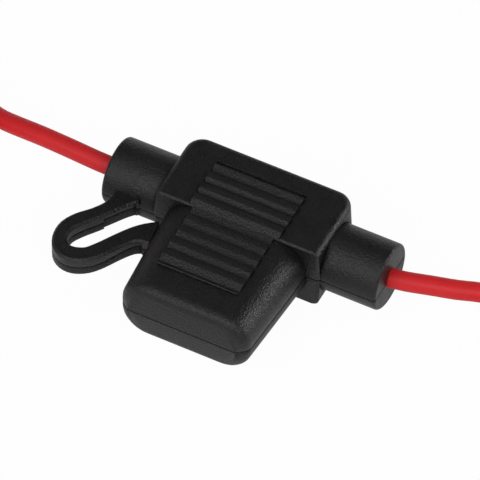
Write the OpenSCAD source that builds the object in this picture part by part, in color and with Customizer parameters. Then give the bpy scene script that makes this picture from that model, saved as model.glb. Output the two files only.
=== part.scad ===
// Inline splash-proof holder for a mini blade fuse, with a tethered push-on cap
// and a red lead at each end. Millimetres, +X along the right lead, +Z up,
// and the origin on the underside, below the middle of the leads' axis.

/* [Holder block] */
// Width of the block, along the leads
block_w = 27; // [24:0.1:32]
// Depth of the block in front of the leads' axis
block_front = 5.5; // [5.3:0.1:7]
// Depth of the block behind the leads' axis
block_back = 7.3; // [5.5:0.1:10]
// Thickness of the block
block_h = 12; // [11:0.1:15]
// Plan radius of the block's two back corners
back_corner_r = 2.8; // [2:0.1:5]
// Rounding of the block's long edges
block_edge_r = 1.2; // [0.6:0.1:1.8]
// Small bevel round the block's front face
front_bevel = 0.3; // [0.1:0.05:0.5]
// How far the moulding draft swells the block at its parting line
draft = 0.2; // [0:0.05:0.5]

/* [Sleeves] */
// Diameter of the round sleeve that each lead leaves by
sleeve_d = 10.4; // [8:0.1:10.8]
// Length of a sleeve beyond the block
sleeve_len = 9.1; // [5:0.1:16]
// Rounding of a sleeve's end edge
sleeve_edge_r = 0.5; // [0.2:0.1:1]

/* [Socket nose] */
// Width of the nose that the cap pushes over
nose_w = 16; // [15.4:0.1:17]
// Thickness of the nose
nose_h = 7.6; // [7.2:0.1:8.2]
// Length of the nose in front of the block
nose_len = 7.6; // [6:0.1:8.6]
// Corner radius of the nose's section
nose_corner_r = 2.6; // [1:0.1:3.4]

/* [Cap] */
// Length of the cap
cap_len = 17.3; // [16.6:0.1:22]
// Width of the cap at its mouth
cap_mouth_w = 23; // [20:0.1:24]
// Width of the cap at its closed end
cap_end_w = 21; // [19:0.1:23]
// Thickness of the cap at its mouth
cap_mouth_h = 11.2; // [10.6:0.1:12]
// Thickness of the cap at its closed end
cap_end_h = 10.8; // [10:0.1:12]
// Radius that rounds the cap's sides
cap_side_r = 4.7; // [3:0.1:5]
// Rounding between the cap's sides and its closed end
cap_end_r = 1.7; // [0.6:0.1:2.4]
// Wall at the cap's closed end
cap_end_wall = 1.4; // [1:0.1:1.6]
// Gap all round between the nose and the inside of the cap
cap_gap = 0.15; // [0.1:0.05:0.4]
// Gap between the cap's mouth and the block
mouth_gap = 0.1; // [0.05:0.05:0.4]

/* [Grip ribs] */
// Distance from one rib to the next on the block
block_rib_pitch = 2.28; // [2.16:0.02:2.4]
// Distance from one rib to the next on the cap
cap_rib_pitch = 2.43; // [2.15:0.01:2.5]
// Width of a rib, across its run
rib_w = 2.05; // [1.6:0.05:2.1]
// How far the ribs stand above the block and the cap
rib_rise = 0.45; // [0.2:0.05:0.8]
// How far a rib's front edge drops below its crest
rib_fall = 0.35; // [0.05:0.05:0.4]
// Width of a rib's sloping front
rib_slope_w = 1.25; // [0.6:0.05:1.4]
// Width of that slope on the block's underside, where broader crests rest on the bench
base_slope_w = 0.7; // [0.4:0.05:0.8]
// Depth of the grooves below the face that the ribs stand on
groove_depth = 0.25; // [0:0.05:0.4]
// Number of ribs on the block
block_ribs = 4; // [2:1:4]
// Number of ribs on the cap
cap_ribs = 5; // [3:1:6]
// Length of the block's ribs
block_rib_len = 14.7; // [10:0.1:20]
// Length of the cap's ribs
cap_rib_len = 13.2; // [8:0.1:15]
// How far the ribs sit to the left of the middle
rib_shift = 0.4; // [0:0.1:1]
// Distance from the cap's mouth to the front edge of its first rib
cap_rib_inset = 1.1; // [0.8:0.1:1.8]
// Gap between the block's backmost rib and the edge of its tray
tray_gap = 0.6; // [0.3:0.05:0.9]
// How much narrower the block's backmost rib is than the others
back_rib_trim = 0.45; // [0:0.05:0.7]
// Width of the raised ledge in front of the cap's foremost rib
ledge_w = 0.3; // [0.2:0.05:1]

/* [Tether] */
// Thickness of the tether strap
strap_h = 3.5; // [2.4:0.1:4]
// Bevel along the strap's edges
strap_bevel = 0.35; // [0.1:0.05:0.6]
// Depth of the recesses that thin the strap beside its two roots
flute_depth = 0.5; // [0.3:0.05:0.7]
// Thickness of the strap's flange above those recesses
flange_h = 0.5; // [0.4:0.05:0.7]
// Gap between the strap's end and the cap's side
strap_gap = 0.1; // [0.05:0.05:0.3]
// Distance from the block's side to the strap's middle on the sleeve
sleeve_root_out = 4.7; // [3.4:0.1:5]
// Depth of the strap's end inside the sleeve
sleeve_root_deep = 0.7; // [0.5:0.1:1]
// Distance from the cap's mouth to the strap's middle on the cap
cap_root_back = 3.8; // [3.2:0.1:5]
// Depth to which the strap's line runs inside the cap's side, before it is cut to it
cap_root_deep = 0.5; // [0.3:0.1:0.8]

/* [Fuse] */
// Width of the mini blade fuse
fuse_w = 10.9; // [10.6:0.1:11.2]
// Thickness of its plastic housing
fuse_t = 3.8; // [3.4:0.1:4]
// Height of its plastic housing
fuse_h = 8.9; // [8.4:0.1:9]
// How deep the housing sits in the mouth of the nose
fuse_seat = 1.9; // [1:0.1:3]
// Width of one blade
blade_w = 2.8; // [2.6:0.05:3]
// Thickness of one blade
blade_t = 0.8; // [0.6:0.05:0.85]
// Length of the blades below the housing
blade_len = 7.4; // [6.6:0.1:7.6]
// Distance between the middles of the two blades
blade_pitch = 8.1; // [7.9:0.1:8.3]
// Length of the blades inside the housing
blade_root_len = 5.4; // [4.4:0.1:6]
// Width of the fuse's link
link_w = 1; // [0.6:0.1:1.4]
// Thickness of the fuse's link
link_t = 0.5; // [0.3:0.05:0.6]
// Height of the housing's wider head
fuse_head_h = 5.2; // [4.6:0.1:6]
// Step from the fuse's head in to its narrower waist
waist_step = 0.5; // [0.3:0.1:0.7]
// Width of the slot in the fuse's top over each blade
test_slot_w = 1.6; // [1.2:0.1:2]
// Thickness of that slot
test_slot_t = 0.9; // [0.7:0.1:1.2]
// Border round the hollow on each face of the fuse
window_edge = 0.8; // [0.6:0.1:1.2]

/* [Terminals] */
// Sheet thickness of the terminals
sheet_t = 0.4; // [0.3:0.05:0.5]
// Length of the spring socket that grips a blade
socket_len = 7; // [5:0.1:7.4]
// Outer radius of the rolled spring arms
roll_r = 0.85; // [0.7:0.05:0.9]
// Length of the crimp on the conductor
crimp_len = 2.8; // [2:0.1:3.2]
// Length of the crimp on the insulation
grip_len = 2; // [1.6:0.1:2.4]
// Distance between the two crimps
crimp_gap = 0.8; // [0.6:0.1:1]
// Room that the socket's rolled arms leave beside a blade
socket_room = 0.6; // [0.4:0.05:0.7]
// Working gap between a blade, a terminal and the walls round them
fit_gap = 0.05; // [0.03:0.01:0.1]

/* [Leads] */
// Diameter of a lead over its insulation
lead_d = 3; // [2.6:0.1:3.4]
// Diameter of a lead's stranded conductor
core_d = 1.6; // [1.2:0.1:1.8]
// Length of the stripped end of a lead
bare_len = 8; // [4:0.5:12]
// Thickness of the tie round a lead's coil
tie_t = 0.4; // [0.3:0.1:0.4]
// Width of the tie
tie_w = 2; // [1:0.1:4]

/* [Hidden] */
$fn = 64;

black_plastic = [0.09, 0.09, 0.10];
red_pvc = [0.80, 0.04, 0.06];
tinned_copper = [0.78, 0.76, 0.72];
brass = [0.80, 0.66, 0.36];
fuse_blue = [0.25, 0.62, 0.86];
tie_black = [0.05, 0.05, 0.05];

overlap = 0.4;
hull_fn = 32;
thin = 0.02;
axis_z = block_h / 2 + rib_rise;
lead_r = lead_d / 2;
core_r = core_d / 2;
sleeve_end = block_w / 2 + sleeve_len;

mouth_y = -block_front - mouth_gap;
cap_end_y = mouth_y - cap_len;
cavity_end_y = cap_end_y + cap_end_wall;
cavity_w = nose_w + 2 * cap_gap;
cavity_h = nose_h + 2 * cap_gap;
cavity_corner_r = nose_corner_r + cap_gap;
nose_end_y = -block_front - nose_len;
shoulder_y = nose_end_y + fuse_seat;
blade_tip_y = shoulder_y + blade_len;

ledge_z = 0.1;
tie_grip = 0.1;
rib_setback = 0.05;
first_rib_y = rib_setback - block_front;
last_cap_rib_y = mouth_y - cap_rib_inset - (cap_ribs - 1) * cap_rib_pitch;

// A flat rectangle with round corners, about its own middle
module round_rect(w, h, r) {
    square([w - 2 * r, h], center = true);
    square([w, h - 2 * r], center = true);
    for (x = [-1, 1]) {
        for (y = [-1, 1]) {
            translate([x * (w / 2 - r), y * (h / 2 - r)])
                circle(r);
        }
    }
}

// A section in X and Z that runs from the plane y0 forward to the plane y1
module along_y(y0, y1) {
    translate([0, y0, axis_z])
        rotate([90, 0, 0])
            linear_extrude(y0 - y1)
                children();
}

// A bar of round section along X from x0 to x1 on the leads' axis
module axis_bar(x0, x1, r) {
    translate([x0, 0, axis_z])
        rotate([0, 90, 0])
            cylinder(r = r, h = x1 - x0);
}

// What the right lead has, mirrored for the left one
module on_side(side) {
    if (side < 0) {
        mirror([1, 0, 0])
            children();
    } else {
        children();
    }
}

// What stands on the upper face, turned over to the lower one
module turned_over() {
    translate([0, 0, 2 * axis_z])
        mirror([0, 0, 1])
            children();
}

// The same thing on the upper and on the lower face
module both_faces() {
    children();
    turned_over()
        children();
}

// A louvred grip pad: ribs with an upright back and a sloping front.
// front_y is the front edge of the foremost rib, and face_z the face below it.
function rib_points(y, z, slope_w) = [
    [y, z - groove_depth],
    [y, z + rib_rise - rib_fall],
    [y + slope_w, z + rib_rise],
    [y + rib_w, z + rib_rise],
    [y + rib_w, z - groove_depth]
];

module grip_ribs(count, pitch, front_y, length, face_z, slope_w = rib_slope_w) {
    for (i = [0 : count - 1]) {
        translate([-rib_shift - length / 2, 0, 0])
            rotate([90, 0, 90])
                linear_extrude(length)
                    polygon(rib_points(front_y + i * pitch, face_z, slope_w));
    }
}

// The shallow tray that the block's ribs stand in, with a sloping back wall
module rib_tray(y0, y1, length, face_z) {
    top = groove_depth + overlap;
    translate([-rib_shift - length / 2, 0, face_z - groove_depth])
        rotate([90, 0, 90])
            linear_extrude(length)
                polygon([[y0, 0], [y1, 0], [y1 + top, top], [y0, top]]);
}

// The slab that carries the cap's ribs, with a raised ledge along its front
module rib_slab(y0, y1, length, face_z) {
    foot = 1.2;
    translate([-rib_shift - length / 2, 0, face_z])
        rotate([90, 0, 90])
            linear_extrude(length)
                polygon([
                    [y0, -foot],
                    [y0, 0],
                    [y0 + ledge_z, ledge_z],
                    [y0 + ledge_w, ledge_z],
                    [y0 + ledge_w, -groove_depth],
                    [y1, -groove_depth],
                    [y1, -foot]
                ]);
}

// The soft-edged block, a little fuller at its parting line
module block_form() {
    x = block_w / 2;
    z = block_h / 2;
    ring_r = back_corner_r - block_edge_r;
    hull() {
        for (sx = [-1, 1]) {
            translate([sx * (x - block_edge_r), 0, axis_z]) {
                translate([0, front_bevel - block_front, 0])
                    cube([2 * (block_edge_r + draft), thin, thin], center = true);
            }
            for (sz = [-1, 1]) {
                translate([
                    sx * (x - back_corner_r),
                    block_back - back_corner_r,
                    axis_z + sz * (z - block_edge_r)
                ])
                    rotate_extrude($fn = hull_fn)
                        translate([ring_r, 0])
                            circle(block_edge_r, $fn = 24);
                translate([
                    sx * (x - block_edge_r),
                    front_bevel - block_front,
                    axis_z + sz * (z - block_edge_r)
                ])
                    rotate([90, 0, 0]) {
                        cylinder(r = block_edge_r, h = thin, $fn = hull_fn);
                        cylinder(r = block_edge_r - front_bevel, h = front_bevel, $fn = hull_fn);
                    }
            }
            translate([
                sx * (x - back_corner_r),
                block_back - back_corner_r,
                axis_z
            ])
                cylinder(r = back_corner_r + draft, h = thin, center = true, $fn = hull_fn);
        }
    }
}

// One sleeve with a rounded end edge
module sleeve_form() {
    r = sleeve_d / 2;
    start = block_w / 2 - overlap * 3;
    length = sleeve_end - start;
    translate([start, 0, axis_z])
        rotate([0, 90, 0])
            rotate_extrude() {
                square([r, length - sleeve_edge_r]);
                square([r - sleeve_edge_r, length]);
                intersection() {
                    translate([r - sleeve_edge_r, length - sleeve_edge_r])
                        circle(sleeve_edge_r);
                    square([r, length]);
                }
            }
}

// What one terminal, its crimps and its lead fill inside the holder
socket_w = blade_w + 2 * fit_gap + 2 * sheet_t + socket_room;
socket_base_z = -blade_t / 2 - fit_gap - sheet_t;
roll_z = blade_t / 2 + fit_gap + roll_r;
socket_top_z = roll_z + roll_r;
socket_front_y = shoulder_y + 0.3;
socket_back_y = socket_front_y + socket_len;
barrel_r = core_r + fit_gap + sheet_t;
grip_r = lead_r + fit_gap + sheet_t;
barrel_start = blade_pitch / 2 + socket_w / 2;
barrel_end = barrel_start + crimp_len;
grip_start = barrel_end + crimp_gap;
grip_end = grip_start + grip_len;
insulation_start = grip_start + 2 * fit_gap;

module lead_passage() {
    axis_bar(grip_end, sleeve_end + overlap, lead_r + fit_gap);
    axis_bar(barrel_start - 1, grip_end + fit_gap, grip_r + fit_gap);
}

module socket_passage() {
    x0 = blade_pitch / 2 - socket_w / 2 - fit_gap;
    z0 = socket_base_z - fit_gap;
    translate([x0, nose_end_y - overlap, axis_z + z0])
        cube([
            socket_w + 2 * fit_gap,
            barrel_r + fit_gap - nose_end_y + overlap,
            socket_top_z - z0 + fit_gap
        ]);
}

// The ribs on one face of the block, with the backmost one trimmed
module block_pad(slope_w, pad_z, back_y) {
    intersection() {
        grip_ribs(block_ribs, block_rib_pitch, first_rib_y, block_rib_len, pad_z, slope_w);
        translate([-block_w / 2, -block_front, 0])
            cube([block_w, block_front + back_y, 2 * pad_z]);
    }
}

module holder_body() {
    seat_w = fuse_w + 4 * fit_gap;
    seat_h = fuse_t + 4 * fit_gap;
    pad_z = axis_z + block_h / 2;
    rib_back_y = first_rib_y + (block_ribs - 1) * block_rib_pitch + rib_w - back_rib_trim;
    color(black_plastic)
        difference() {
            union() {
                difference() {
                    block_form();
                    both_faces()
                        rib_tray(
                            -block_front - overlap,
                            rib_back_y + tray_gap,
                            block_rib_len,
                            pad_z
                        );
                }
                block_pad(rib_slope_w, pad_z, rib_back_y);
                turned_over()
                    block_pad(base_slope_w, pad_z, rib_back_y);
                on_side(1)
                    sleeve_form();
                on_side(-1)
                    sleeve_form();
                along_y(overlap - block_front, nose_end_y)
                    round_rect(nose_w, nose_h, nose_corner_r);
            }
            for (side = [-1, 1]) {
                on_side(side) {
                    lead_passage();
                    socket_passage();
                }
            }
            along_y(shoulder_y, nose_end_y - overlap)
                square([seat_w, seat_h], center = true);
        }
}

// The cap's outside: round-sided, tapering to a drafted end
module cap_form() {
    mouth_x = cap_mouth_w / 2 - cap_side_r;
    mouth_z = cap_mouth_h / 2 - cap_side_r;
    end_side_r = cap_side_r * cap_end_h / cap_mouth_h;
    end_x = cap_end_w / 2 - end_side_r;
    end_z = cap_end_h / 2 - end_side_r;
    hull() {
        for (sx = [-1, 1]) {
            for (sz = [-1, 1]) {
                translate([sx * mouth_x, mouth_y, axis_z + sz * mouth_z])
                    rotate([90, 0, 0])
                        cylinder(r = cap_side_r, h = thin, $fn = 40);
                translate([
                    sx * end_x,
                    cap_end_y + draft * 2 + cap_end_r,
                    axis_z + sz * end_z
                ])
                    rotate([90, 0, 0])
                        rotate_extrude($fn = 40)
                            translate([end_side_r - cap_end_r, 0])
                                circle(cap_end_r, $fn = 24);
            }
        }
        translate([0, cap_end_y + thin / 2, axis_z])
            cube([cap_end_w - 2 * cap_end_r, thin, thin], center = true);
    }
}

module cap() {
    groove_w = cap_rib_pitch - rib_w;
    pad_z = axis_z + cap_mouth_h / 2;
    color(black_plastic)
        difference() {
            union() {
                cap_form();
                both_faces() {
                    grip_ribs(cap_ribs, cap_rib_pitch, last_cap_rib_y, cap_rib_len, pad_z);
                    rib_slab(
                        last_cap_rib_y - groove_w - ledge_w,
                        mouth_y,
                        cap_rib_len,
                        pad_z
                    );
                }
            }
            along_y(mouth_y + overlap, cavity_end_y)
                round_rect(cavity_w, cavity_h, cavity_corner_r);
            along_y(mouth_y + rib_w, mouth_y)
                square([cap_mouth_w, 2 * cap_mouth_h], center = true);
        }
}

// The strap's middle line from the left sleeve round to the cap, as x, y and width
strap_line = [
    [-18.2, -4.5, 4.6],
    [-18.7, -6.1, 3.1],
    [-19.6, -8.0, 2.4],
    [-20.9, -10.0, 2.3],
    [-22.5, -12.0, 2.5],
    [-23.5, -13.9, 2.4],
    [-23.6, -15.8, 2.2],
    [-22.9, -17.4, 2.3],
    [-21.6, -18.2, 2.6],
    [-20.1, -18.2, 2.8],
    [-18.4, -17.3, 2.7],
    [-17.0, -15.5, 2.7],
    [-15.6, -13.2, 2.7],
    [-14.2, -11.2, 2.9],
    [-12.7, -10.0, 3.8],
    [-11, -9.3, 5]
];
strap_steps = 3;
strap_last = len(strap_line) - 1;
sleeve_root = [-block_w / 2 - sleeve_root_out, sleeve_root_deep - sleeve_d / 2];
cap_root_y = mouth_y - cap_root_back;
cap_lean = atan((cap_mouth_w - cap_end_w) / 2 / cap_len);
cap_root = [cap_root_deep - cap_mouth_w / 2, cap_root_y];

// The line moves with whichever root it is nearer to when a size changes
strap_points = [
    for (i = [0 : strap_last])
        let (
            p = strap_line[i],
            share = i / strap_last,
            near_sleeve = sleeve_root - [strap_line[0][0], strap_line[0][1]],
            near_cap = cap_root - [strap_line[strap_last][0], strap_line[strap_last][1]],
            shift = (1 - share) * near_sleeve + share * near_cap
        )
        [p[0] + shift[0], p[1] + shift[1], p[2]]
];

function along(p, i) = p[min(max(i, 0), len(p) - 1)];
function spline(p, i, t) =
    let (a = along(p, i - 1), b = along(p, i), c = along(p, i + 1), d = along(p, i + 2))
    0.5 * (2 * b + t * (c - a) + t * t * (2 * a - 5 * b + 4 * c - d)
        + t * t * t * (3 * b - a - 3 * c + d));
function smooth_path(p, steps) = concat(
    [for (i = [0 : len(p) - 2]) for (k = [0 : steps - 1]) spline(p, i, k / steps)],
    [p[len(p) - 1]]
);
function unit(v) = v / norm(v);
function heading(p, i) = unit(along(p, i + 1) - along(p, i - 1));
function flat3(v) = [v[0], v[1], 0];

// A ring of section points [across, up] set square to the path at its point i
function section_ring(path, headings, sections, i) =
    let (
        h = headings[i],
        across = unit(cross([0, 0, 1], h)),
        up = cross(h, across)
    )
    [for (s = sections[i]) path[i] + s[0] * across + s[1] * up];

module sweep(path, headings, sections) {
    n = len(sections[0]);
    rings = len(path);
    points = [for (i = [0 : rings - 1]) each section_ring(path, headings, sections, i)];
    sides = [
        for (i = [0 : rings - 2]) for (k = [0 : n - 1])
            let (a = i * n + k, b = i * n + (k + 1) % n)
            each [[a, b, a + n], [b, b + n, a + n]]
    ];
    start = [for (k = [n - 1 : -1 : 0]) k];
    end = [for (k = [0 : n - 1]) (rings - 1) * n + k];
    polyhedron(points, concat(sides, [start, end]), convexity = 6);
}

function beveled(w, h, b) = [
    [-w / 2, b - h / 2], [-w / 2, h / 2 - b], [b - w / 2, h / 2], [w / 2 - b, h / 2],
    [w / 2, h / 2 - b], [w / 2, b - h / 2], [w / 2 - b, -h / 2], [b - w / 2, -h / 2]
];
function box_section(x0, x1, h) = [[x0, -h / 2], [x0, h / 2], [x1, h / 2], [x1, -h / 2]];

// What the cap's left side takes away from the strap's end
module cap_side_cut() {
    translate([-strap_gap - cap_mouth_w / 2, mouth_y, axis_z - strap_h])
        rotate([0, 0, cap_lean])
            translate([0, -cap_len, 0])
                cube([cap_mouth_w / 4, cap_len, 2 * strap_h]);
}

module tether() {
    full = smooth_path(strap_points, strap_steps);
    count = len(full);
    path = [for (p = full) [p[0], p[1], axis_z]];
    headings = [for (i = [0 : count - 1]) unit(flat3(heading(full, i)))];
    upper = [for (i = [1 : 8]) i];
    lower = [for (i = [count - 13 : count - 5]) i];
    below_flange = [0, 0, -flange_h];
    color(black_plastic)
        difference() {
            sweep(path, headings, [for (p = full) beveled(p[2], strap_h, strap_bevel)]);
            sweep(
                [for (i = upper) path[i] + below_flange],
                [for (i = upper) headings[i]],
                [for (i = upper) box_section(full[i][2] / 2 - flute_depth, full[i][2], strap_h)]
            );
            sweep(
                [for (i = lower) path[i] + below_flange],
                [for (i = lower) headings[i]],
                [
                    for (i = lower)
                        let (deep = flute_depth * (i - lower[0] + 1) / len(lower))
                        box_section(-full[i][2], deep - full[i][2] / 2, strap_h)
                ]
            );
            cap_side_cut();
        }
}

// One blade of the fuse, from its tip up into the housing
blade_top_y = shoulder_y - blade_root_len;
link_y = blade_top_y + blade_w / 2;

module blade_blank(extra) {
    translate([blade_pitch / 2 - blade_w / 2 - extra, blade_top_y - extra, axis_z - blade_t / 2 - extra])
        cube([blade_w + 2 * extra, blade_tip_y - blade_top_y + extra, blade_t + 2 * extra]);
}

module link_blank(extra) {
    translate([
        -blade_pitch / 2,
        link_y - link_w / 2 - extra,
        axis_z - link_t / 2 - extra
    ])
        cube([blade_pitch, link_w + 2 * extra, link_t + 2 * extra]);
}

module fuse_element() {
    color(tinned_copper)
        difference() {
            union() {
                on_side(1)
                    blade_blank(0);
                on_side(-1)
                    blade_blank(0);
                link_blank(0);
            }
            for (side = [-1, 1]) {
                for (slant = [-1, 1]) {
                    translate([side * blade_pitch / 2 + slant * blade_w / 2, blade_tip_y, axis_z])
                        rotate([0, 0, 45])
                            cube([0.9, 0.9, 2 * blade_t], center = true);
                }
            }
        }
}

module fuse_housing() {
    waist_w = fuse_w - 2 * waist_step;
    waist_t = fuse_t - 1.2 * waist_step;
    top_y = shoulder_y - fuse_h;
    color(fuse_blue)
        difference() {
            union() {
                along_y(shoulder_y - fuse_h + fuse_head_h, top_y)
                    round_rect(fuse_w, fuse_t, 0.5);
                along_y(shoulder_y, top_y + overlap)
                    round_rect(waist_w, waist_t, 0.4);
            }
            on_side(1)
                blade_blank(fit_gap);
            on_side(-1)
                blade_blank(fit_gap);
            link_blank(fit_gap);
            for (side = [-1, 1]) {
                translate([side * blade_pitch / 2, top_y - 0.1, axis_z])
                    cube([test_slot_w, 2 * (blade_top_y - top_y - waist_step), test_slot_t], center = true);
            }
            both_faces()
                translate([-blade_pitch / 4, top_y + window_edge, axis_z + fuse_t / 2 - 0.3])
                    cube([blade_pitch / 2, fuse_head_h - 2 * window_edge, 1]);
        }
}

// The rolled spring socket seen along the blade
module socket_section() {
    wall_x = socket_w / 2 - sheet_t;
    translate([-socket_w / 2, socket_base_z])
        square([socket_w, sheet_t]);
    for (side = [-1, 1]) {
        translate([side > 0 ? wall_x : -socket_w / 2, socket_base_z])
            square([sheet_t, roll_z - socket_base_z]);
        translate([side * (socket_w / 2 - roll_r), roll_z])
            difference() {
                circle(roll_r);
                circle(roll_r - sheet_t);
                translate([side > 0 ? 0 : -2 * roll_r, -2 * roll_r])
                    square([2 * roll_r, 2 * roll_r]);
            }
    }
}

module terminal() {
    color(brass)
        difference() {
            union() {
                translate([blade_pitch / 2, 0, 0])
                    along_y(socket_back_y, socket_front_y)
                        socket_section();
                translate([
                    blade_pitch / 2 - socket_w / 2,
                    socket_back_y - overlap,
                    axis_z + socket_base_z
                ])
                    cube([socket_w, barrel_r - socket_back_y + overlap, sheet_t]);
                axis_bar(barrel_start - 1, barrel_end, barrel_r);
                translate([barrel_end - overlap, -core_r, axis_z - barrel_r])
                    cube([grip_start - barrel_end + overlap, core_d, sheet_t]);
                translate([grip_start - sheet_t, -core_r, axis_z - grip_r])
                    cube([sheet_t + fit_gap, core_d, grip_r - barrel_r + sheet_t]);
                axis_bar(grip_start, grip_end, grip_r);
            }
            axis_bar(barrel_start - 2, grip_start, core_r + fit_gap);
            axis_bar(grip_start, grip_end + overlap, lead_r + fit_gap);
        }
}

module conductor() {
    color(tinned_copper)
        axis_bar(barrel_start - 0.6, sleeve_end, core_r);
}

module insulation() {
    color(red_pvc)
        difference() {
            axis_bar(insulation_start, sleeve_end, lead_r);
            axis_bar(insulation_start - overlap, sleeve_end + overlap, core_r + fit_gap);
        }
}

// Each lead's route from its sleeve down to its coil
right_route = [
    [sleeve_end, 0, axis_z], [25, 0.4, 6.45], [28.5, 1.5, 6.3], [32, 2.85, 5.8], [35.4, 4.5, 5.2],
    [39, 5.9, 4.1], [43, 6.8, 2.9], [47, 7, 2.2], [50, 6.9, 2]
];
left_route = [
    [-sleeve_end, 0, axis_z], [-26, 0.1, 6.4], [-31, 0.6, 6.1], [-36, 1.3, 5.4], [-40, 2, 4.45],
    [-43.4, 2.8, 3.5], [-46, 3.9, 2.7], [-48.5, 5.2, 2.2], [-51, 6.3, 2]
];
coil_x = 61.5;
coil_y = -6;
coil_z = 2;
coil_inner_r = 13.5;
coil_outer_r = 16.5;
coil_mid_r = (coil_inner_r + coil_outer_r) / 2;
bundle_w = coil_outer_r - coil_inner_r + lead_d;
bundle_h = lead_d + 2 * fit_gap;
stub_end_x = 72;

module lead(route) {
    headings = [for (i = [0 : len(route) - 1]) i == 0 ? [sign(route[1][0]), 0, 0] : heading(route, i)];
    circle8 = [for (k = [0 : 7]) lead_r * [cos(202.5 - 45 * k), sin(202.5 - 45 * k)]];
    color(red_pvc)
        sweep(route, headings, [for (p = route) circle8]);
}

// A bar of round section that runs outwards from the coil's middle plane
module outward_bar(side, x0, length, r) {
    translate([side * x0, coil_y + coil_outer_r, coil_z])
        rotate([0, side * 90, 0])
            cylinder(r = r, h = length);
}

module lead_coil(side) {
    color(red_pvc)
        union() {
            translate([side * coil_x, coil_y, coil_z])
                rotate_extrude()
                    translate([coil_mid_r, 0])
                        round_rect(bundle_w, bundle_h, lead_r - 0.1);
            outward_bar(side, coil_x, stub_end_x - coil_x, lead_r);
        }
}

module bare_end(side) {
    color(tinned_copper)
        outward_bar(side, stub_end_x, bare_len, core_r);
}

module coil_tie(side) {
    hole_w = bundle_w + 4 * fit_gap;
    hole_h = bundle_h + 2 * fit_gap;
    color(tie_black)
        translate([side * coil_x - tie_w / 2, coil_y + coil_mid_r, coil_z])
            rotate([90, 0, 90])
                linear_extrude(tie_w)
                    difference() {
                        round_rect(hole_w + 2 * tie_t, hole_h + 2 * tie_t, lead_r + tie_t);
                        round_rect(hole_w, hole_h, lead_r - tie_grip);
                    }
}

holder_body();
cap();
tether();
fuse_housing();
fuse_element();
on_side(-1) terminal();  // terminal_left
on_side(1) terminal();  // terminal_right
on_side(-1) conductor();  // conductor_left
on_side(1) conductor();  // conductor_right
on_side(-1) insulation();  // insulation_left
on_side(1) insulation();  // insulation_right
lead(left_route);  // lead_left
lead(right_route);  // lead_right
lead_coil(-1);  // lead_coil_left
lead_coil(1);  // lead_coil_right
bare_end(-1);  // bare_end_left
bare_end(1);  // bare_end_right
coil_tie(-1);  // coil_tie_left
coil_tie(1);  // coil_tie_right
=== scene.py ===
import math
import bpy
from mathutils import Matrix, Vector


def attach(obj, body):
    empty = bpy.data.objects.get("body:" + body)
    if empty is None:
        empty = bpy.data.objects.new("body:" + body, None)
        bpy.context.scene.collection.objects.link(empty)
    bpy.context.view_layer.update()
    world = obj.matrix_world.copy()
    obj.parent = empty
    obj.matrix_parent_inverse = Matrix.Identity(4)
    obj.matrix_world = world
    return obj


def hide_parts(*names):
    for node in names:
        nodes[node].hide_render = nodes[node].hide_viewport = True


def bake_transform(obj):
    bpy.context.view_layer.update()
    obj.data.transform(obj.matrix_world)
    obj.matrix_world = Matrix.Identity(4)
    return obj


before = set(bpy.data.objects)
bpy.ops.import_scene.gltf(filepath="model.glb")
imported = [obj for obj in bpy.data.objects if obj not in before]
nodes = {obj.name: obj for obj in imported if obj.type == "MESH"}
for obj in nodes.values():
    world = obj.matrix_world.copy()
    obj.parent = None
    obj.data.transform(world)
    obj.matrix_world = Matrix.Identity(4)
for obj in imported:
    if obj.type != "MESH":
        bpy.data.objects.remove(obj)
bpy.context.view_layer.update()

# The camera looks down on the holder's ribbed side from its front right, as the photograph does,
# from far enough away that parallel edges stay parallel.
MM = 0.001
axis_z = 6.45 * MM
camera_azimuth = math.radians(27.2)
camera_elevation = math.radians(50.9)
camera_distance = 1.2
film_width = 36
picture_width = 70.59 * MM
picture_centre = (-1.9 * MM, -2.51 * MM)
away = Vector((
    math.sin(camera_azimuth) * math.cos(camera_elevation),
    -math.cos(camera_azimuth) * math.cos(camera_elevation),
    math.sin(camera_elevation),
))
picture_right = Vector((math.cos(camera_azimuth), math.sin(camera_azimuth), 0))
picture_up = away.cross(picture_right)
camera_data = bpy.data.cameras.new("camera")
camera = bpy.data.objects.new("camera", camera_data)
bpy.context.scene.collection.objects.link(camera)
target = (
    Vector((0, 0, axis_z))
    + picture_right * picture_centre[0]
    + picture_up * picture_centre[1]
)
camera.location = target + away * camera_distance
camera.rotation_euler = (math.pi / 2 - camera_elevation, 0, camera_azimuth)
camera_data.sensor_width = film_width
camera_data.lens = film_width * camera_distance / picture_width
camera_data.clip_start = 0.05
camera_data.clip_end = 20
bpy.context.scene.camera = camera

# The two leads: stranded copper in red PVC, 3 mm across, one moulded into each sleeve.
# Each comes down to the bench in a gentle bow and ends in one turn, stored under a tie.
lead_d = 3.0
coil_x, coil_y, lead_z = 61.5, -6.0, 2.0
coil_inner_r, coil_outer_r = 13.5, 16.5
stub_xs = (64.5, 68.0, 72.0)
turn_points = 40
route_steps = 3
right_route = [
    (22.6, 0, 6.45), (25, 0.4, 6.45), (28.5, 1.5, 6.3), (32, 2.85, 5.8), (35.4, 4.5, 5.2),
    (39, 5.9, 4.1), (43, 6.8, 2.9), (47, 7, 2.2), (50, 6.9, 2), (53.5, 6.95, 2), (57, 7.2, 2),
]
left_route = [
    (-22.6, 0, 6.45), (-26, 0.1, 6.4), (-31, 0.6, 6.1), (-36, 1.3, 5.4), (-40, 2, 4.45),
    (-43.4, 2.8, 3.5), (-46, 3.9, 2.7), (-48.5, 5.2, 2.2), (-51, 6.3, 2), (-54, 7.0, 2),
    (-57.5, 7.4, 2),
]
turn_heights = [
    (0, 2), (250, 2), (270, 2.5), (290, 3.7), (305, 4.6), (321, 5.0), (332, 4.8), (345, 3.8),
    (358, 2.5), (372, 2.0),
]


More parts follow.
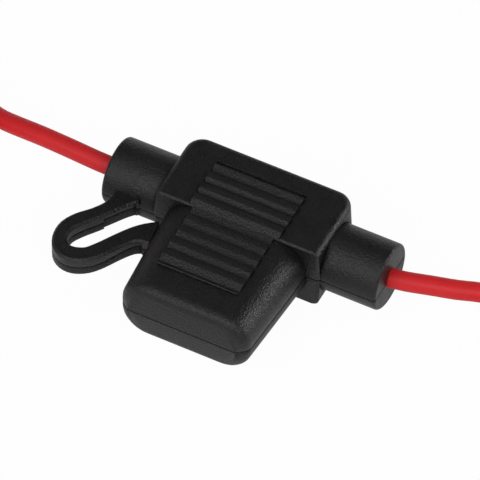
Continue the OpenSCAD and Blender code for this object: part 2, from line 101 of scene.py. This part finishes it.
def height_on_turn(angle):
    """The turn lies on the bench and climbs over the stretch that leads into it."""
    for (a0, z0), (a1, z1) in zip(turn_heights, turn_heights[1:]):
        if angle <= a1:
            part = (angle - a0) / (a1 - a0)
            return z0 + (z1 - z0) * part * part * (3 - 2 * part)
    return lead_z


def coil_points(side):
    points = []
    for k in range(turn_points + 1):
        angle = 360 * k / turn_points
        r = coil_inner_r + (coil_outer_r - coil_inner_r) * angle / 360
        points.append((
            side * (coil_x + r * math.sin(math.radians(angle))),
            coil_y + r * math.cos(math.radians(angle)),
            height_on_turn(angle),
        ))
    for x in stub_xs:
        points.append((side * x, coil_y + coil_outer_r, lead_z))
    return points


def smooth_line(points, steps):
    """A smooth way through all the points, with so many steps from each to the next."""
    line = []
    for i in range(len(points) - 1):
        a, b = Vector(points[max(i - 1, 0)]), Vector(points[i])
        c, d = Vector(points[i + 1]), Vector(points[min(i + 2, len(points) - 1)])
        for k in range(steps):
            t = k / steps
            line.append(0.5 * (
                2 * b + t * (c - a) + t * t * (2 * a - 5 * b + 4 * c - d)
                + t * t * t * (3 * b - a - 3 * c + d)
            ))
    return line + [Vector(points[-1])]


def add_lead(name, points):
    line = [p * MM for p in smooth_line(points, route_steps)]
    curve = bpy.data.curves.new(name, "CURVE")
    curve.dimensions = "3D"
    spline = curve.splines.new("POLY")
    spline.points.add(len(line) - 1)
    for point, place in zip(spline.points, line):
        point.co = (*place, 1)
    curve.bevel_depth = lead_d / 2 * MM
    curve.bevel_resolution = 6
    curve.use_fill_caps = True
    spline.use_smooth = True
    lead = bpy.data.objects.new(name, curve)
    bpy.context.scene.collection.objects.link(lead)
    length = sum((b - a).length for a, b in zip(line, line[1:]))
    return lead, length


def grained_finish(
    name, dark, light, cloud_size, grain_size, roughness, relief, shine=0.5, painted_shade_reach=0, metal=0
):
    """A finish whose colour and gloss wander over cloud_size, with a grain of grain_size in relief.
    Where a reach is given, the shine is taken out of corners tighter than that: painted shade in
    the hollows."""
    material = bpy.data.materials.new(name)
    material.use_nodes = True
    tree = material.node_tree
    add, link = tree.nodes.new, tree.links.new
    shader = tree.nodes["Principled BSDF"]
    place = add("ShaderNodeTexCoord")
    cloud = add("ShaderNodeTexNoise")
    cloud.inputs["Scale"].default_value = 1 / (cloud_size * MM)
    cloud.inputs["Detail"].default_value = 4
    grain = add("ShaderNodeTexNoise")
    grain.inputs["Scale"].default_value = 1 / (grain_size * MM)
    grain.inputs["Detail"].default_value = 1
    grain.inputs["Roughness"].default_value = 0.5
    blend_of_both = add("ShaderNodeMix")
    blend_of_both.inputs["Factor"].default_value = 0.35
    colour = add("ShaderNodeValToRGB")
    colour.color_ramp.elements[0].position = 0.32
    colour.color_ramp.elements[0].color = (*dark, 1)
    colour.color_ramp.elements[1].position = 0.68
    colour.color_ramp.elements[1].color = (*light, 1)
    gloss = add("ShaderNodeMapRange")
    gloss.inputs["From Min"].default_value = 0.3
    gloss.inputs["From Max"].default_value = 0.7
    gloss.inputs["To Min"].default_value = roughness[0]
    gloss.inputs["To Max"].default_value = roughness[1]
    bump = add("ShaderNodeBump")
    bump.inputs["Strength"].default_value = 1.0
    bump.inputs["Distance"].default_value = relief * MM
    link(place.outputs["Object"], cloud.inputs["Vector"])
    link(place.outputs["Object"], grain.inputs["Vector"])
    link(cloud.outputs["Fac"], blend_of_both.inputs["A"])
    link(grain.outputs["Fac"], blend_of_both.inputs["B"])
    link(blend_of_both.outputs["Result"], colour.inputs["Fac"])
    link(colour.outputs["Color"], shader.inputs["Base Color"])
    link(blend_of_both.outputs["Result"], gloss.inputs["Value"])
    link(gloss.outputs["Result"], shader.inputs["Roughness"])
    link(grain.outputs["Fac"], bump.inputs["Height"])
    link(bump.outputs["Normal"], shader.inputs["Normal"])
    shader.inputs["Specular IOR Level"].default_value = shine
    shader.inputs["Metallic"].default_value = metal
    # Painted shade: an ambient occlusion mask lowers the shine in grooves and tight corners, so
    # that they read darker.
    if painted_shade_reach:
        occlusion_for_painted_shade = add("ShaderNodeAmbientOcclusion")
        occlusion_for_painted_shade.samples = 8
        occlusion_for_painted_shade.only_local = True
        occlusion_for_painted_shade.inputs["Distance"].default_value = painted_shade_reach * MM
        shine_under_painted_shade = add("ShaderNodeMapRange")
        shine_under_painted_shade.inputs["From Min"].default_value = 0.5
        shine_under_painted_shade.inputs["From Max"].default_value = 0.95
        shine_under_painted_shade.inputs["To Min"].default_value = 0
        shine_under_painted_shade.inputs["To Max"].default_value = shine
        link(occlusion_for_painted_shade.outputs["AO"], shine_under_painted_shade.inputs["Value"])
        link(shine_under_painted_shade.outputs["Result"], shader.inputs["Specular IOR Level"])
    return material


red_insulation = grained_finish(
    "red_insulation", dark=(0.60, 0.013, 0.017), light=(0.66, 0.017, 0.022),
    cloud_size=2.0, grain_size=0.25, roughness=(0.42, 0.54), relief=0.010, shine=0.3,
)

for side_name, side, route in (("right", 1, right_route), ("left", -1, left_route)):
    lead, lead_length = add_lead(f"lead_wire_{side_name}", route + coil_points(side))
    lead.data.materials.append(red_insulation)
    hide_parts(f"lead_{side_name}", f"lead_coil_{side_name}")
    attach(lead, "holder")

# The holder's own moulding, one shot of black thermoplastic rubber with a fine sparked texture: a
# soft-edged block with grip louvres on both faces, a sleeve to each side and the socket nose, with
# a parting line all round. The upper louvres are cut a little deeper than the solid's.
part_line_w = 0.24
part_line_depth = 0.3
edge_softness = 0.13
crest_softness = 0.3
rib_slope_w = 1.25
rib_front_fall = 0.35
rib_foot_reach = 0.12
tolerance = 0.02
block_rib_pitch = 2.28
block_ribs_from = -5.45
block_crests = [block_ribs_from + rib_slope_w + block_rib_pitch * k for k in range(4)]
block_crest_rise = 6.45
block_groove_rise = 5.78
block_groove_zone = ((-7.9, 7.1), (-5.6, 4), (5.7, 6.2))


def copy_of_solid(node, name):
    """A copy of the solid's mesh with its loose triangles merged into whole faces."""
    mesh = nodes[node].data.copy()
    mesh.name = name
    mesh.materials.clear()
    piece = bpy.data.objects.new(name, mesh)
    bpy.context.scene.collection.objects.link(piece)
    bpy.ops.object.select_all(action="DESELECT")
    piece.select_set(True)
    bpy.context.view_layer.objects.active = piece
    bpy.ops.object.mode_set(mode="EDIT")
    bpy.ops.mesh.select_all(action="SELECT")
    bpy.ops.mesh.remove_doubles(threshold=0.002 * MM)
    bpy.ops.mesh.dissolve_limited(angle_limit=math.radians(0.4))
    bpy.ops.mesh.select_all(action="DESELECT")
    bpy.ops.object.mode_set(mode="OBJECT")
    return piece


def round_crests(piece, crest_lines, rise):
    for vertex in piece.data.vertices:
        on_crest = abs(abs(vertex.co.z - axis_z) - rise * MM) < tolerance * MM
        on_line = any(abs(vertex.co.y - y * MM) < tolerance * MM for y in crest_lines)
        vertex.select = on_crest and on_line
    for edge in piece.data.edges:
        edge.select = all(piece.data.vertices[i].select for i in edge.vertices)
    bpy.context.view_layer.objects.active = piece
    bpy.ops.object.mode_set(mode="EDIT")
    bpy.ops.mesh.select_mode(type="EDGE")
    bpy.ops.mesh.bevel(offset=crest_softness * MM, segments=4, affect="EDGES")
    bpy.ops.mesh.select_mode(type="VERT")
    bpy.ops.object.mode_set(mode="OBJECT")


def deepen_louvres(piece, crest_lines, rise, groove_rise, climb=0):
    """Lowers the foot of each upper louvre's front, with a floor that may climb to the back."""
    for vertex in piece.data.vertices:
        on_front = abs(vertex.co.z - axis_z - (rise - rib_front_fall) * MM) < tolerance * MM
        for y in crest_lines:
            foot_y = y - rib_slope_w
            if on_front and abs(vertex.co.y - foot_y * MM) < rib_foot_reach * MM:
                vertex.co.z = axis_z + (groove_rise + climb * (foot_y - crest_lines[0])) * MM


def in_zone(corner, zone):
    """Whether a corner lies in the ranges of x, y and rise from the leads' axis, up or down."""
    (x0, x1), (y0, y1), (rise0, rise1) = zone
    rise = abs(corner.z - axis_z / MM)
    return x0 < corner.x < x1 and y0 < corner.y < y1 and rise0 < rise < rise1


def soften_edges(piece, width, segments, angle, sharp_zone=None):
    """Rounds the sharp edges, apart from those that lie wholly in sharp_zone."""
    bpy.context.view_layer.objects.active = piece
    bpy.ops.object.mode_set(mode="EDIT")
    bpy.ops.mesh.select_mode(type="EDGE")
    bpy.ops.mesh.select_all(action="DESELECT")
    bpy.ops.mesh.edges_select_sharp(sharpness=math.radians(angle))
    bpy.ops.object.mode_set(mode="OBJECT")
    for edge in piece.data.edges:
        ends = [piece.data.vertices[i].co / MM for i in edge.vertices]
        if edge.select and sharp_zone and all(in_zone(end, sharp_zone) for end in ends):
            edge.select = False
    bpy.ops.object.mode_set(mode="EDIT")
    bpy.ops.mesh.bevel(offset=width * MM, segments=segments, affect="EDGES", clamp_overlap=True)
    bpy.ops.mesh.select_mode(type="VERT")
    bpy.ops.object.mode_set(mode="OBJECT")


def cut_part_line(piece, z):
    """Draws in a narrow band all round at height z, as the joint of the mould leaves it."""
    bpy.context.view_layer.objects.active = piece
    for offset in (-part_line_w / 2, 0, part_line_w / 2):
        bpy.ops.object.mode_set(mode="EDIT")
        bpy.ops.mesh.select_all(action="SELECT")
        bpy.ops.mesh.bisect(
            plane_co=(0, 0, z + offset * MM), plane_no=(0, 0, 1), threshold=0.001 * MM
        )
        bpy.ops.mesh.select_all(action="DESELECT")
        bpy.ops.object.mode_set(mode="OBJECT")
    for vertex in piece.data.vertices:
        vertex.select = abs(vertex.co.z - z) < (part_line_w / 2 - tolerance) * MM
    bpy.ops.object.mode_set(mode="EDIT")
    bpy.ops.transform.shrink_fatten(value=-part_line_depth * MM)
    bpy.ops.object.mode_set(mode="OBJECT")


def even_shading(piece, angle):
    bpy.ops.object.select_all(action="DESELECT")
    piece.select_set(True)
    bpy.context.view_layer.objects.active = piece
    bpy.ops.object.shade_smooth_by_angle(angle=math.radians(angle))
    weights = piece.modifiers.new("even_shading", "WEIGHTED_NORMAL")
    weights.keep_sharp = True
    weights.weight = 100
    bpy.ops.object.modifier_apply(modifier=weights.name)


# The rubber's shine is taken out of its grooves and tight corners within 1 mm, as painted shade.
black_rubber = grained_finish(
    "black_rubber", dark=(0.0030, 0.0031, 0.0034), light=(0.0060, 0.0062, 0.0067),
    cloud_size=2.5, grain_size=0.28, roughness=(0.34, 0.46), relief=0.12, shine=0.38, painted_shade_reach=1.0,
)
holder = copy_of_solid("holder_body", "holder_moulding")
round_crests(holder, block_crests[:3], block_crest_rise)
soften_edges(holder, edge_softness, 2, 35, block_groove_zone)
deepen_louvres(holder, block_crests, block_crest_rise, block_groove_rise)
cut_part_line(holder, axis_z)
even_shading(holder, 50)
holder.data.materials.append(black_rubber)
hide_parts("holder_body")
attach(holder, "holder")

# The cap: a hollow, round-sided cover of the same rubber, pushed over the socket nose, with five
# more grip ribs and a drafted end. It is pulled straight off to reach the fuse.
cap_rib_pitch = 2.43
cap_ribs_from = -16.42
cap_crests = [cap_ribs_from + rib_slope_w + cap_rib_pitch * k for k in range(5)]
cap_crest_rise = 6.05
cap_groove_rise = 5.48
cap_groove_climb = 0.0134
cap_groove_zone = ((-7.1, 6.3), (-17.2, -5.7), (5.3, 5.8))
cap = copy_of_solid("cap", "pull_cap")
round_crests(cap, cap_crests, cap_crest_rise)
soften_edges(cap, edge_softness, 2, 35, cap_groove_zone)
deepen_louvres(cap, cap_crests, cap_crest_rise, cap_groove_rise, cap_groove_climb)
cut_part_line(cap, axis_z)
even_shading(cap, 50)
cap.data.materials.append(black_rubber)
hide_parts("cap")
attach(cap, "cap")

# The tether: a flat strap of the same shot that loops from the left sleeve to the cap's side,
# so that the cap stays on the holder when it is pulled off.
strap_softness = 0.14
tether = copy_of_solid("tether", "tether_loop")
soften_edges(tether, strap_softness, 2, 35)
cut_part_line(tether, axis_z)
even_shading(tether, 40)
tether.data.materials.append(black_rubber)
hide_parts("tether")
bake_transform(tether)

# The bared ends of the leads: 8 mm of the stranded conductor, nineteen tinned copper strands laid
# in two rings round a middle one and twisted together, cut square by the wire stripper.
strand_d = 0.31
strand_sides = 10
bare_len = 8.0
twist_steps = 16
twist_angle = 200
strand_rings = ((1, 0.0), (6, 0.322), (12, 0.644))
tinned_copper = grained_finish(
    "tinned_copper", dark=(0.50, 0.48, 0.46), light=(0.66, 0.64, 0.61),
    cloud_size=0.8, grain_size=0.12, roughness=(0.22, 0.38), relief=0.004, metal=1,
)
for side_name, side in (("right", 1), ("left", -1)):
    bpy.ops.object.select_all(action="DESELECT")
    strands = []
    for count, ring_r in strand_rings:
        for k in range(count):
            angle = 2 * math.pi * k / count
            bpy.ops.mesh.primitive_cylinder_add(
                vertices=strand_sides, radius=strand_d / 2 * MM, depth=bare_len * MM,
                location=(0, ring_r * math.cos(angle) * MM, ring_r * math.sin(angle) * MM),
                rotation=(0, math.pi / 2, 0),
            )
            strands.append(bpy.context.object)
    for strand in strands:
        strand.select_set(True)
    bpy.ops.object.transform_apply(location=True, rotation=True, scale=True)
    bpy.ops.object.join()
    bare_end = bpy.context.object
    bare_end.name = f"bare_strands_{side_name}"
    bpy.ops.object.mode_set(mode="EDIT")
    for k in range(1, twist_steps):
        bpy.ops.mesh.select_all(action="SELECT")
        bpy.ops.mesh.bisect(
            plane_co=((k / twist_steps - 0.5) * bare_len * MM, 0, 0), plane_no=(1, 0, 0)
        )
    bpy.ops.object.mode_set(mode="OBJECT")
    twist = bare_end.modifiers.new("twist", "SIMPLE_DEFORM")
    twist.deform_method = "TWIST"
    twist.deform_axis = "X"
    twist.angle = math.radians(twist_angle)
    bpy.ops.object.modifier_apply(modifier=twist.name)
    bpy.ops.object.mode_set(mode="EDIT")
    bpy.ops.mesh.select_all(action="SELECT")
    bpy.ops.transform.translate(value=(
        side * (stub_xs[-1] + bare_len / 2) * MM, (coil_y + coil_outer_r) * MM, lead_z * MM
    ))
    bpy.ops.mesh.normals_make_consistent(inside=False)
    bpy.ops.object.mode_set(mode="OBJECT")
    bpy.ops.object.shade_smooth_by_angle(angle=math.radians(50))
    bare_end.data.materials.append(tinned_copper)
    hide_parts(f"bare_end_{side_name}")
    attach(bare_end, "holder")

# The ties that hold the stored turn of each lead: a flat band of black plastic round both wires.
tie_softness = 0.12
tie_band = grained_finish(
    "tie_band", dark=(0.010, 0.010, 0.011), light=(0.022, 0.022, 0.023),
    cloud_size=1.2, grain_size=0.2, roughness=(0.30, 0.42), relief=0.02, shine=0.4,
)
for side_name in ("right", "left"):
    tie = copy_of_solid(f"coil_tie_{side_name}", f"tie_{side_name}")
    soften_edges(tie, tie_softness, 3, 35)
    even_shading(tie, 40)
    tie.data.materials.append(tie_band)
    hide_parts(f"coil_tie_{side_name}")
    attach(tie, "holder")

# What shows once the cap is off: the mini blade fuse in its clear tinted housing, with its zinc
# element, and behind it in the nose the brass terminals crimped on the tinned conductors.
fuse_plastic = grained_finish(
    "fuse_plastic", dark=(0.03, 0.20, 0.52), light=(0.05, 0.27, 0.62),
    cloud_size=2.0, grain_size=0.3, roughness=(0.10, 0.20), relief=0.006,
)
fuse_plastic.node_tree.nodes["Principled BSDF"].inputs["Transmission Weight"].default_value = 0.55
fuse_metal = grained_finish(
    "fuse_metal", dark=(0.42, 0.43, 0.44), light=(0.58, 0.59, 0.60),
    cloud_size=1.0, grain_size=0.15, roughness=(0.28, 0.44), relief=0.008, metal=1,
)
terminal_brass = grained_finish(
    "terminal_brass", dark=(0.60, 0.42, 0.17), light=(0.74, 0.54, 0.25),
    cloud_size=1.2, grain_size=0.15, roughness=(0.24, 0.40), relief=0.008, metal=1,
)
for node, finish in (
    ("fuse_housing", fuse_plastic), ("fuse_element", fuse_metal),
    ("terminal_left", terminal_brass), ("terminal_right", terminal_brass),
    ("conductor_left", tinned_copper), ("conductor_right", tinned_copper),
    ("insulation_left", red_insulation), ("insulation_right", red_insulation),
):
    for material_slot in nodes[node].material_slots:
        material_slot.material = finish

# The bench and the studio round it: a white sweep under a pale horizon, a low broad light in front
# to the left, a fill from the camera's side, a dim one overhead and one behind to the right.
paper_white = 0.86
floor_seen_white = 0.97
floor_mirrored_white = 0.4
horizon_glow = 0.58
overhead_glow = 0.09
glow_fades_by = 0.65
softbox_distance = 0.8
bpy.ops.object.select_all(action="DESELECT")
bpy.ops.mesh.primitive_plane_add(size=12, location=(0, 0, 0))
floor = bpy.context.object
floor.name = "floor"
white_sweep = bpy.data.materials.new("white_sweep")
white_sweep.use_nodes = True
tree = white_sweep.node_tree
tree.nodes.clear()
out = tree.nodes.new("ShaderNodeOutputMaterial")
paper = tree.nodes.new("ShaderNodeBsdfDiffuse")
paper.inputs["Color"].default_value = (paper_white, paper_white, paper_white, 1)
lit = tree.nodes.new("ShaderNodeEmission")
lit.inputs["Strength"].default_value = 1.0
seen = tree.nodes.new("ShaderNodeLightPath")
seen_white = tree.nodes.new("ShaderNodeMath")
seen_white.operation = "MULTIPLY"
seen_white.inputs[1].default_value = floor_seen_white
mirrored = tree.nodes.new("ShaderNodeMath")
mirrored.operation = "MAXIMUM"
mirrored_pale = tree.nodes.new("ShaderNodeMath")
mirrored_pale.operation = "MULTIPLY"
mirrored_pale.inputs[1].default_value = floor_mirrored_white
share = tree.nodes.new("ShaderNodeMath")
share.operation = "MAXIMUM"
mix = tree.nodes.new("ShaderNodeMixShader")
link = tree.links.new
link(seen.outputs["Is Camera Ray"], seen_white.inputs[0])
link(seen.outputs["Is Glossy Ray"], mirrored.inputs[0])
link(seen.outputs["Is Transmission Ray"], mirrored.inputs[1])
link(mirrored.outputs[0], mirrored_pale.inputs[0])
link(seen_white.outputs[0], share.inputs[0])
link(mirrored_pale.outputs[0], share.inputs[1])
link(share.outputs[0], mix.inputs["Fac"])
link(paper.outputs[0], mix.inputs[1])
link(lit.outputs[0], mix.inputs[2])
link(mix.outputs[0], out.inputs["Surface"])
floor.data.materials.append(white_sweep)
world = bpy.data.worlds.new("studio")
bpy.context.scene.world = world
world.use_nodes = True
backdrop = world.node_tree.nodes["Background"]
height_up = world.node_tree.nodes.new("ShaderNodeTexCoord")
height_parts = world.node_tree.nodes.new("ShaderNodeSeparateXYZ")
glow = world.node_tree.nodes.new("ShaderNodeMapRange")
glow.interpolation_type = "SMOOTHSTEP"
glow.inputs["From Min"].default_value = 0.0
glow.inputs["From Max"].default_value = glow_fades_by
glow.inputs["To Min"].default_value = horizon_glow
glow.inputs["To Max"].default_value = overhead_glow
world.node_tree.links.new(height_up.outputs["Generated"], height_parts.inputs["Vector"])
world.node_tree.links.new(height_parts.outputs["Z"], glow.inputs["Value"])
world.node_tree.links.new(glow.outputs["Result"], backdrop.inputs["Strength"])
backdrop.inputs["Color"].default_value = (1, 1, 1, 1)


def add_softbox(name, direction, width, height, brightness):
    light_data = bpy.data.lights.new(name, "AREA")
    light_data.shape = "RECTANGLE"
    light_data.size = width
    light_data.size_y = height
    light_data.energy = brightness * math.pi * width * height
    light = bpy.data.objects.new(name, light_data)
    bpy.context.scene.collection.objects.link(light)
    way = Vector(direction).normalized()
    light.location = way * softbox_distance
    light.rotation_euler = (-way).to_track_quat("-Z", "Y").to_euler()


add_softbox("front_light", (-0.29, -0.70, 0.65), 0.6, 0.55, 2.3)
add_softbox("fill_light", (0.50, -0.58, 0.66), 0.5, 0.5, 3.0)
add_softbox("top_light", (-0.29, 0.0, 0.957), 0.55, 0.4, 0.9)
add_softbox("right_light", (0.80, 0.56, 0.24), 0.5, 0.22, 7.5)

bpy.context.scene.view_settings.view_transform = "Standard"
